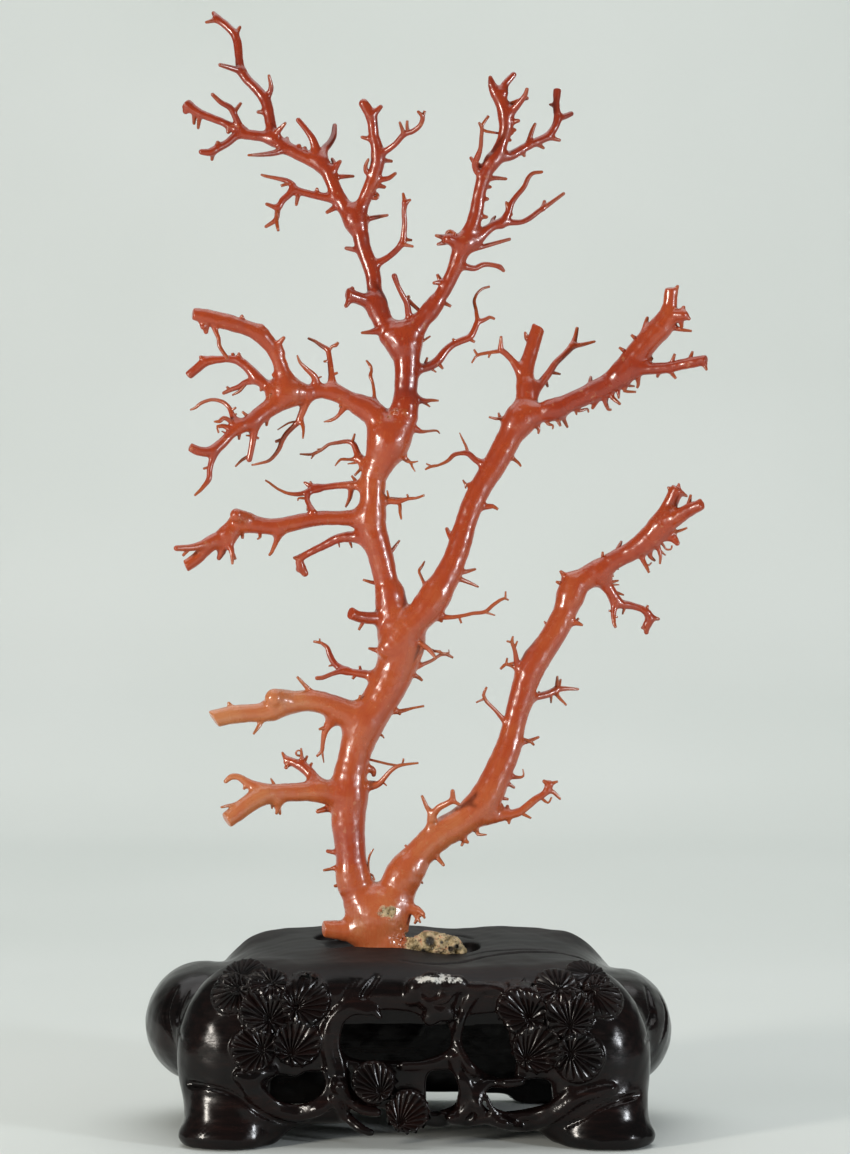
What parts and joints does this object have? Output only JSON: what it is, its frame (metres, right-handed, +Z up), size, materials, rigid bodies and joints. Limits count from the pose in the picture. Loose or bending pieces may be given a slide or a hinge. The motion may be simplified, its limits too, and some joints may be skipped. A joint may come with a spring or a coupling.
{
  "type": "branching coral on a carved wood stand",
  "caption": "Polished branching precious coral with a pitted foot, resting upright in a dark carved openwork wood stand.",
  "frame": {"origin": "centre of the overall box in plan, on the plane the stand's feet rest on", "axes": "+Z up along the coral, +X to the right seen from the front, +Y to the back"},
  "size_m": [0.187, 0.099, 0.3734],
  "materials": {
    "coral": "polished",
    "dark_wood": "polished"
  },
  "bodies": {
    "root": {"foot": "coral", "main_trunk": "coral", "lowest_left_limb": "coral", "pale_left_limb": "coral", "forked_left_twig": "coral", "middle_trunk": "coral", "cut_stump": "coral", "drooping_left_limb": "coral", "long_left_limb": "coral", "thin_left_limb": "coral", "upswept_left_twig": "coral", "shoulder_limb": "coral", "shoulder_upper_arm": "coral", "shoulder_middle_arm": "coral", "shoulder_lower_arm": "coral", "upper_trunk": "coral", "crown_left_limb": "coral", "crown_outer_left": "coral", "crown_inner_left": "coral", "crown_right_limb": "coral", "crown_right_branch": "coral", "right_limb": "coral", "right_cut_limb": "coral", "thorny_limb": "coral", "thorny_lower_fork": "coral", "right_stem": "coral", "right_stem_upper": "coral", "right_stem_drooping": "coral", "stand": "dark_wood"}
  },
  "joints": []
}
